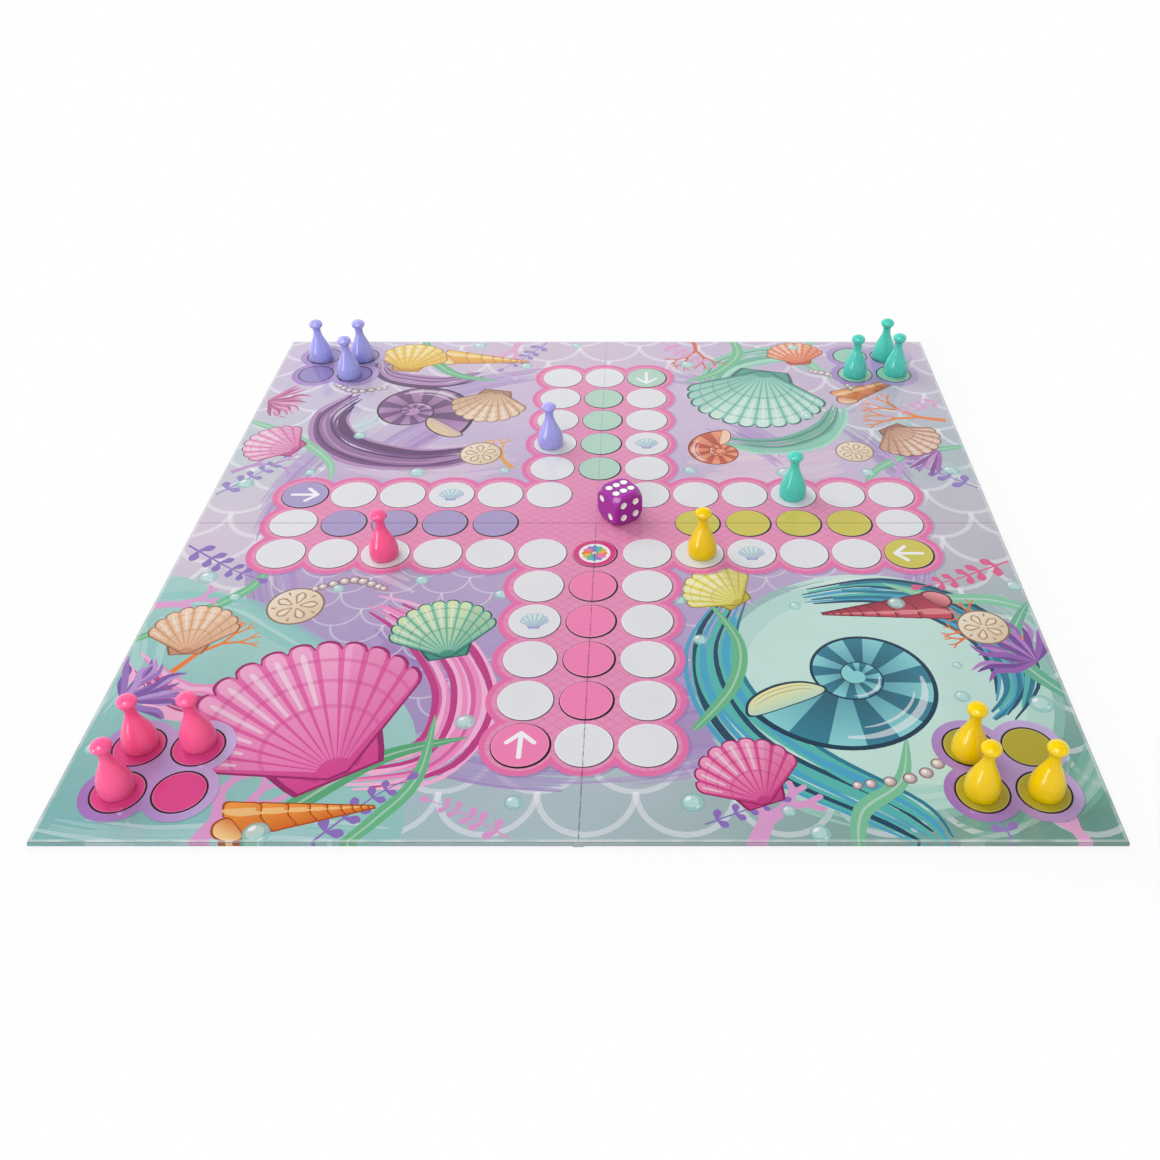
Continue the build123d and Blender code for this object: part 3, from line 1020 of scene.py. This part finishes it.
def print_material():
    """Ink under a gloss film: a net on the track, fine grain, painted shade along the folds and the slit,
    frayed paper at the slit's front end, a painted highlight on the rounded outer edges and painted shade
    on their sides.
    """
    shader = surface_shader("laminated_print")
    tint = shader.node("VertexColor", layer_name="ink").outputs
    x, y, _ = shader.apart(shader.place())

    wobble = shader.ranged(shader.noise(60, 1), 0, 1, -NET_WOBBLE, NET_WOBBLE)
    steep = shader.math("MULTIPLY", y, NET_SLOPE)
    lines = []
    for sign in ("ADD", "SUBTRACT"):
        slant = shader.math("DIVIDE", shader.math(sign, x, steep), NET_PITCH)
        band = shader.math("FRACT", shader.math("ADD", slant, wobble))
        lines.append(shader.math("ABSOLUTE", shader.math("SUBTRACT", band, 0.5)))
    cross = shader.ranged(shader.math("MAXIMUM", *lines), *NET_LINE, 0.0, NET_STRENGTH)
    net = shader.math("MULTIPLY", cross, tint["Alpha"])
    colour = shader.blend(net, tint["Color"], ink("e2619a"))

    grain = shader.ranged(shader.noise(1500, 2), 0.3, 0.7, 0.965, 1.025)
    cloud = shader.ranged(shader.noise(26, 3), 0.3, 0.7, 0.975, 1.02)
    level = shader.math("MULTIPLY", grain, cloud)
    shade = shader.feed(shader.node("CombineXYZ"), {0: level, 1: level, 2: level})
    colour = shader.blend(1.0, colour, shade[0], "MULTIPLY")

    from_slit = shader.math("ABSOLUTE", x)
    from_fold = shader.math("ABSOLUTE", y)
    patchy = shader.ranged(shader.noise(420, 3), 0.42, 0.58, 0.1, 0.75)
    # Painted shade: along the slit on the front half, broken by noise, and along the side folds, multiplied
    # in with a grey
    slit = shader.math("MULTIPLY", shader.ranged(from_slit, FOLD_LINE, CREASE_SHADE_WIDTH, 1.0, 0.0), patchy)
    slit = shader.math("MULTIPLY", slit, shader.math("LESS_THAN", y, 0.0))
    fold = shader.ranged(from_fold, FOLD_LINE, CREASE_SHADE_WIDTH, CREASE_SHADE_STRENGTH, 0.0)
    colour = shader.blend(shader.math("MAXIMUM", slit, fold), colour, ink("8f8590"), "MULTIPLY")
    from_slit_end = shader.math("MAXIMUM", from_slit, shader.math("ADD", y, HALF * MM))
    frayed = shader.math("MULTIPLY", shader.ranged(from_slit_end, CREASE_SHADE_WIDTH, FRAY_REACH, 1.0, 0.0),
                         shader.ranged(shader.noise(1300, 2), 0.45, 0.55, 0.0, 0.9))
    colour = shader.blend(frayed, colour, ink(RAW_PAPER))

    reach = shader.math("MAXIMUM", from_slit, from_fold)

    def near_rim(span, first, last):
        far, near = [(HALF - inset) * MM for inset in span]
        return shader.ranged(reach, far, near, first, last)

    # Painted highlight: a pale, uneven band on the rounded shoulder of the outer edges
    highlight_band = shader.math("MULTIPLY", near_rim(EDGE_HIGHLIGHT_RISE, 0.0, 1.0), near_rim(EDGE_HIGHLIGHT_FALL, 1.0, 0.0))
    highlight_patches = shader.ranged(shader.noise(90, 3), 0.35, 0.65, 0.15, EDGE_HIGHLIGHT_PEAK)
    colour = shader.blend(shader.math("MULTIPLY", highlight_band, highlight_patches), colour, ink("eef3f4"))
    # Painted shade: the side faces of the outer edges darkened with a grey
    colour = shader.blend(near_rim(EDGE_TURN, 0.0, EDGE_SIDE_SHADE), colour, ink("cfd3d6"), "MULTIPLY")

    rough = shader.ranged(shader.noise(180, 3), 0.3, 0.7, 0.4, 0.5)
    shader.look({"Base Color": colour, "Roughness": rough, "Specular IOR Level": 0.1,
                 "Coat Weight": 1.0, "Coat IOR": 1.52, "Coat Roughness": 0.015})
    shader.bump(shader.noise(900, 2), 0.04, 0.0002)
    return shader.owner


def paper_material(name, code, fibre_code, scale, roughness):
    """Uncoated paper or board with short fibres."""
    shader = surface_shader(name)
    stretched = shader.feed(shader.node("Mapping"), {"Vector": shader.place(), "Scale": (1.0, 4.0, 1.0)})
    streak = shader.noise(scale, 5, stretched[0])
    share = shader.ranged(streak, 0.4, 0.7, 0.0, 0.8)
    rough = shader.ranged(streak, 0.3, 0.7, roughness - 0.08, roughness + 0.05)
    shader.look({"Base Color": shader.blend(share, ink(code), ink(fibre_code)), "Roughness": rough})
    shader.bump(streak, 0.25, 0.00008)
    return shader.owner


def tape_material():
    """Woven hinge tape, with painted shade in the low places of the weave."""
    shader = surface_shader("hinge_tape")
    weave = []
    for direction in ("X", "Y"):
        wave = shader.node("TexWave", wave_type="BANDS", bands_direction=direction)
        weave.append(shader.feed(wave, {"Vector": shader.place(), "Scale": 620})["Fac"])
    height = shader.math("MULTIPLY", *weave)
    # Painted shade: the colour goes darker where the weave is low
    shader.look({"Base Color": shader.blend(height, ink("4f8388"), ink("77a9ab")), "Roughness": 0.75})
    shader.bump(height, 0.4, 0.0001)
    return shader.owner


def plastic_material(name, code, deep_code, depth, gloss):
    """Moulded plastic with a little depth, faint flow marks and a polished skin."""
    shader = surface_shader(name)
    flow = shader.ranged(shader.noise(150, 3), 0.3, 0.75, 0.0, 0.4)
    rough = shader.ranged(shader.noise(500, 2), 0.3, 0.7, 0.2, 0.27)
    shader.look({
        "Base Color": shader.blend(flow, ink(code), ink(deep_code)), "Roughness": rough,
        "Subsurface Weight": depth, "Subsurface Radius": (1.0, 0.7, 0.7), "Subsurface Scale": 0.005,
        "Specular IOR Level": 0.08, "Coat Weight": gloss, "Coat IOR": 1.4, "Coat Roughness": 0.05,
    })
    shader.bump(shader.noise(1100, 2), 0.012, 0.0001)
    return shader.owner


# Pawns
PAWN_STEPS = 72
SEAM = 0.035
SEAM_TURN = 0.022
SEAM_FOOT = 0.2
FOOT_RADIUS = 6.4
FOOT_ROUND = 0.5
DISH_RADIUS = 4.2
DISH_DEPTH = 0.8
DISH_DRAFT = 0.5
BELLY_HEIGHT = 3.0
NECK_RADIUS = 2.2
NECK_HEIGHT = 17.3
HEAD_RADIUS = 3.8
HEAD_RISE = 2.6
HEAD_JOIN = 2.9
PAWN_TRANSLUCENCE = 0.8
PAWN_GLOSS = 0.8


def pawn_profile(height, belly):
    """Half outline of a pawn from the dish in its foot to its crown, as (radius, height)."""
    rim = DISH_RADIUS + DISH_DRAFT
    dish = [(0, DISH_DEPTH), (DISH_RADIUS - 0.15, DISH_DEPTH), (DISH_RADIUS + 0.05, DISH_DEPTH - 0.1),
            (rim, 0.06), (rim + 0.08, 0)]
    foot = [(FOOT_RADIUS - FOOT_ROUND * (1 - math.sin(a)), FOOT_ROUND * (1 - math.cos(a)))
            for a in np.linspace(0, math.pi / 2, 6)]
    flank = [(FOOT_RADIUS, FOOT_ROUND), (6.58, 1.8), (belly, BELLY_HEIGHT), (6.3, 5.8), (5.7, 7.8),
             (4.9, 9.8), (4.0, 11.8), (3.1, 13.8), (2.42, 15.8),
             (NECK_RADIUS, NECK_HEIGHT), (NECK_RADIUS, 19.2)]
    collar = [(2.27, 19.6), (2.45, 19.95), (2.68, 20.27)]
    head_middle = height - HEAD_RISE
    start = -math.acos(HEAD_JOIN / HEAD_RADIUS)
    head = [(HEAD_RADIUS * math.cos(a), head_middle + HEAD_RISE * math.sin(a))
            for a in np.linspace(start, math.pi / 2, 24)]
    head[-1] = (0, height)
    return dish + foot + smooth(flank, 5, closed=False)[1:] + collar + head


def turned_pawn(node, material, turn):
    """Pawn turned about its own axis, with the two faint lines where the mould closes."""
    low, high = mm_box(node)
    x, y = mm_centre(node)
    profile = pawn_profile(high[2] - low[2], (high[0] - low[0]) / 2)
    plain = np.linspace(0, 2 * math.pi, PAWN_STEPS, endpoint=False)
    seams = [lap + step for lap in (0, math.pi) for step in (-SEAM_TURN, SEAM_TURN)]
    angles = sorted(set(plain) | {a % (2 * math.pi) for a in seams})
    verts, faces = [(x, y, low[2] + profile[0][1])], []
    for radius, level in profile[1:-1]:
        for angle in angles:
            at_seam = min(abs(angle), abs(angle - math.pi)) < SAME_PLACE and level > SEAM_FOOT
            grown = radius + (SEAM if at_seam else 0.0)
            heading = angle + turn
            verts.append((x + grown * math.cos(heading), y + grown * math.sin(heading), low[2] + level))
    verts.append((x, y, low[2] + profile[-1][1]))
    count, rings = len(angles), len(profile) - 2
    for k in range(count):
        step = (k + 1) % count
        faces.append((0, 1 + step, 1 + k))
        for ring in range(rings - 1):
            base = 1 + ring * count
            faces.append((base + k, base + step, base + count + step, base + count + k))
        faces.append((1 + (rings - 1) * count + k, 1 + (rings - 1) * count + step, len(verts) - 1))
    piece = new_object(node + "_turned", metres(verts), faces, material)
    piece.data.shade_smooth()
    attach(piece, node)
    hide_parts(node)
    return piece


# Die
DIE_ROUND = 1.2
DIE_SPHERE = 11.4
DIE_TURN = 36.0
DIE_GRID = 0.42
PIP_RADIUS = 1.75
PIP_STEP = 0.14
PIP_DEPTH = 0.42
PIP_LIP = 0.9998
PIP_CORNER = 3.4
PIP_RINGS = (1.15, 1.06, 1.0, 0.9, 0.62, 0.3)
PIP_PAINT = 0.97
SIX_LONG = 4.2
SIX_WIDE = 2.9


def pip_layout(count):
    corners = [(x * PIP_CORNER, y * PIP_CORNER) for x, y in ((-1, 1), (1, -1), (-1, -1), (1, 1))]
    layouts = {1: [(0, 0)], 2: corners[:2], 3: corners[:2] + [(0, 0)], 4: corners, 5: corners + [(0, 0)]}
    layouts[6] = [(across, up) for across in (-SIX_LONG, 0, SIX_LONG) for up in (-SIX_WIDE, SIX_WIDE)]
    return layouts[count]


def die_point(across, up, axes, half, depth):
    """A point of a face, with the edge rounding, the turned corners and the pip's dish."""
    point = np.array(axes[0]) * across + np.array(axes[1]) * up + np.array(axes[2]) * half
    core = np.clip(point, -(half - DIE_ROUND), half - DIE_ROUND)
    away = point - core
    point = core + away / np.linalg.norm(away) * DIE_ROUND
    reach = np.linalg.norm(point)
    if reach > DIE_SPHERE:
        point = point * DIE_SPHERE / reach
    return point - np.array(axes[2]) * depth


def moulded_die(body_material, pip_material, pip_shade_material):
    """Die with rounded edges, turned corners and dished, painted pips, and painted shade in a dark ring
    round each pip.
    """
    low, high = mm_box("die_body")
    half = (high[2] - low[2]) / 2
    middle = np.array([(low[k] + high[k]) / 2 for k in range(3)])
    turn = math.radians(DIE_TURN)
    spin = np.array([[math.cos(turn), -math.sin(turn), 0], [math.sin(turn), math.cos(turn), 0], [0, 0, 1]])
    sides = [
        (((1, 0, 0), (0, 1, 0), (0, 0, 1)), 6), (((1, 0, 0), (0, -1, 0), (0, 0, -1)), 1),
        (((1, 0, 0), (0, 0, 1), (0, -1, 0)), 4), (((-1, 0, 0), (0, 0, 1), (0, 1, 0)), 3),
        (((0, -1, 0), (0, 0, 1), (-1, 0, 0)), 2), (((0, 1, 0), (0, 0, 1), (1, 0, 0)), 5),
    ]
    verts, faces, painted, lookup = [], [], [], {}
    for axes, count in sides:
        pips = pip_layout(count)
        rings = [circle(px, py, PIP_RADIUS * share, 32) for px, py in pips for share in PIP_RINGS]
        coords, triangles = tiling(rings, (-half, -half), (half, half), DIE_GRID)
        reach = [np.hypot(coords[:, 0] - px, coords[:, 1] - py) for px, py in pips]
        from_pip = np.min(reach, axis=0) / PIP_RADIUS
        dish = np.where(from_pip < PIP_LIP, PIP_STEP + PIP_DEPTH * (1 - from_pip ** 2), 0.0)
        index = []
        for (across, up), depth in zip(coords, dish):
            point = middle + spin @ die_point(across, up, axes, half, depth)
            key = tuple(np.round(point, 4))
            if key not in lookup:
                lookup[key] = len(verts)
                verts.append(tuple(point * MM))
            index.append(lookup[key])
        for triangle in triangles:
            face = tuple(index[k] for k in triangle)
            if len(set(face)) == 3:
                faces.append(face)
                away = from_pip[triangle].mean()
                # Faces just outside the white paint take a dark purple: painted shade in the pip's recess
                painted.append(1 if away < PIP_PAINT else 2 if away < PIP_RINGS[0] else 0)
    piece = new_object("die_moulded", verts, faces, body_material)
    piece.data.materials.append(pip_material)
    piece.data.materials.append(pip_shade_material)
    piece.data.polygons.foreach_set("material_index", np.array(painted, np.int32))
    piece.data.shade_smooth()
    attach(piece, "die")
    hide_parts("die_body", "die_pips")
    return piece


# Studio: a white backdrop that gives way to a dim ceiling between two heights, as the sine of the angle up
BACKDROP_SPAN = (0.44, 0.77)
CEILING = 0.1
FILL = 0.585
FLOOR_DROP = 0.0003
FLOOR_SIZE = 4.0
FADE_START = 0.86
FADE_REACH = 0.07
SLIT_SHADE = 0.002

# Lamps: place in metres, watts, size, whether the plastic alone takes it, whether it gives diffuse light
LAMPS = {
    "key": ((-1.2, 1.1, 1.4), 22.0, (1.4, 1.4), False, True),
    "front": ((-0.5, -1.7, 0.75), 8.5, (1.3, 1.0), False, True),
    "gleam": ((-0.46, -0.66, 1.39), 7.0, (0.4, 0.4), True, True),
    "sheen": ((-0.35, -1.05, 1.2), 22.0, (1.0, 1.0), True, False),
    "streak": ((-1.25, -1.1, 0.28), 11.0, (0.6, 0.7), True, False),
}


def floor_material():
    """White floor with the object's shadow on it, which clears into the white around it."""
    shader = surface_shader("studio_floor")
    shader.look({"Base Color": (0.95, 0.95, 0.95, 1), "Roughness": 0.9, "Specular IOR Level": 0.0})
    x, y, _ = shader.apart(shader.place())
    sides = [shader.math("ABSOLUTE", way) for way in (x, y)]
    beyond = shader.math("SUBTRACT", shader.math("MAXIMUM", *sides), HALF * MM)
    clearing = shader.ranged(beyond, 0.0, FADE_REACH, FADE_START, 1.0)
    path = shader.node("LightPath").outputs
    seen = shader.math("MAXIMUM", path["Is Camera Ray"], path["Is Glossy Ray"])
    below_slit = shader.math("MULTIPLY", shader.math("LESS_THAN", sides[0], SLIT_SHADE),
                             shader.math("LESS_THAN", beyond, 0.0))
    share = shader.math("MULTIPLY", shader.math("MULTIPLY", seen, clearing),
                        shader.math("SUBTRACT", 1.0, below_slit))
    from_below = shader.node("NewGeometry").outputs["Backfacing"]
    clear = shader.node("BsdfTransparent").outputs[0]
    share = shader.math("MAXIMUM", share, from_below)
    shader.mix(share, shader.surface.outputs[0], clear, "Material Output")
    return shader.owner


def studio_world():
    """White behind the object and in its gloss, and an even fill for the rest."""
    world = Shader(bpy.data.worlds.new("studio"), "Background")
    bpy.context.scene.world = world.owner
    path = world.node("LightPath").outputs
    seen = path["Is Camera Ray"]
    for ray in ("Is Glossy Ray", "Is Transmission Ray"):
        seen = world.math("MAXIMUM", seen, path[ray])
    height = world.apart(world.place("Generated"))[2]
    backdrop = world.ranged(height, *BACKDROP_SPAN, 1.0, CEILING)
    strength = world.math("MAXIMUM", path["Is Camera Ray"], backdrop)
    world.look({"Color": (1, 1, 1, 1), "Strength": strength})
    fill = world.feed(world.node("Background"), {"Color": (0.98, 0.99, 1.0, 1), "Strength": FILL})
    world.mix(seen, fill[0], world.surface.outputs[0], "World Output")


def studio(pieces):
    corners = [(-1, -1), (1, -1), (1, 1), (-1, 1)]
    corners = [(x * FLOOR_SIZE, y * FLOOR_SIZE, -FLOOR_DROP) for x, y in corners]
    new_object("studio_floor", corners, [(0, 1, 2, 3)], floor_material())
    studio_world()
    plastics = bpy.data.collections.new("plastics")
    for piece in pieces:
        plastics.objects.link(piece)
    for name, (place, power, size, plastic_only, lights) in LAMPS.items():
        lamp = bpy.data.lights.new(name, "AREA")
        lamp.shape = "RECTANGLE"
        lamp.energy = power
        lamp.size, lamp.size_y = size
        holder = bpy.data.objects.new(name, lamp)
        holder.visible_diffuse, holder.visible_glossy = lights, plastic_only
        if plastic_only:
            holder.light_linking.receiver_collection = plastics
        holder.location = place
        holder.rotation_euler = (-Vector(place)).to_track_quat("-Z", "Y").to_euler()
        bpy.context.scene.collection.objects.link(holder)


# Camera fitted to the photographed board
CAMERA_PLACE = (0.0227, -0.4548, 0.3251)
CAMERA_PITCH = 35.87
CAMERA_LENS = 36.44
CAMERA_SHIFT = (-0.0553, -0.0408)


def camera():
    data = bpy.data.cameras.new("camera")
    data.sensor_width = 36.0
    data.lens = CAMERA_LENS
    data.shift_x, data.shift_y = CAMERA_SHIFT
    data.clip_start = 0.01
    holder = bpy.data.objects.new("camera", data)
    holder.location = CAMERA_PLACE
    holder.rotation_euler = (math.radians(90 - CAMERA_PITCH), 0, 0)
    bpy.context.scene.collection.objects.link(holder)
    bpy.context.scene.camera = holder


def dress_frame():
    """Materials of the CAD pieces that stay."""
    looks = {
        "core_board": paper_material("greyboard", "a39d94", "857e76", 260, 0.85),
        "back_liner": paper_material("back_paper", "8fb9bb", "a8cccc", 420, 0.6),
        "tape": tape_material(),
    }
    for name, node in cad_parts.items():
        for part, material in looks.items():
            if part in name:
                node.data.materials.clear()
                node.data.materials.append(material)


def build():
    draw_print()
    sheet = print_material()
    for panel in ("rear_left", "rear_right", "front_left", "front_right"):
        printed_panel(panel, sheet)
    inks = {
        "purple": ("aaabe9", "a09fe2"), "teal": ("54cbbc", "47c0b0"),
        "pink": ("ff6197", "ff578d"), "yellow": ("eac700", "e2bd00"),
    }
    draw = random.Random(7)
    pieces = []
    for colour, look in inks.items():
        material = plastic_material(colour + "_plastic", *look, PAWN_TRANSLUCENCE, PAWN_GLOSS)
        for number in range(1, 5):
            pieces.append(turned_pawn(f"{colour}_pawn_{number}", material, draw.uniform(0, math.pi)))
    body = plastic_material("die_plastic", "a1279f", "93208f", 0.2, 1.0)
    paint = plastic_material("pip_paint", "f6f5f3", "eae8e6", 0.1, 0.5)
    # The third die material is a dark purple ring round the pips: painted shade
    pieces.append(moulded_die(body, paint, plastic_material("pip_recess_shade", "5a1054", "4a0c46", 0.1, 0.5)))
    dress_frame()
    studio(pieces)
    camera()
    bpy.context.scene.view_settings.view_transform = "Standard"


build()
bpy.context.view_layer.update()
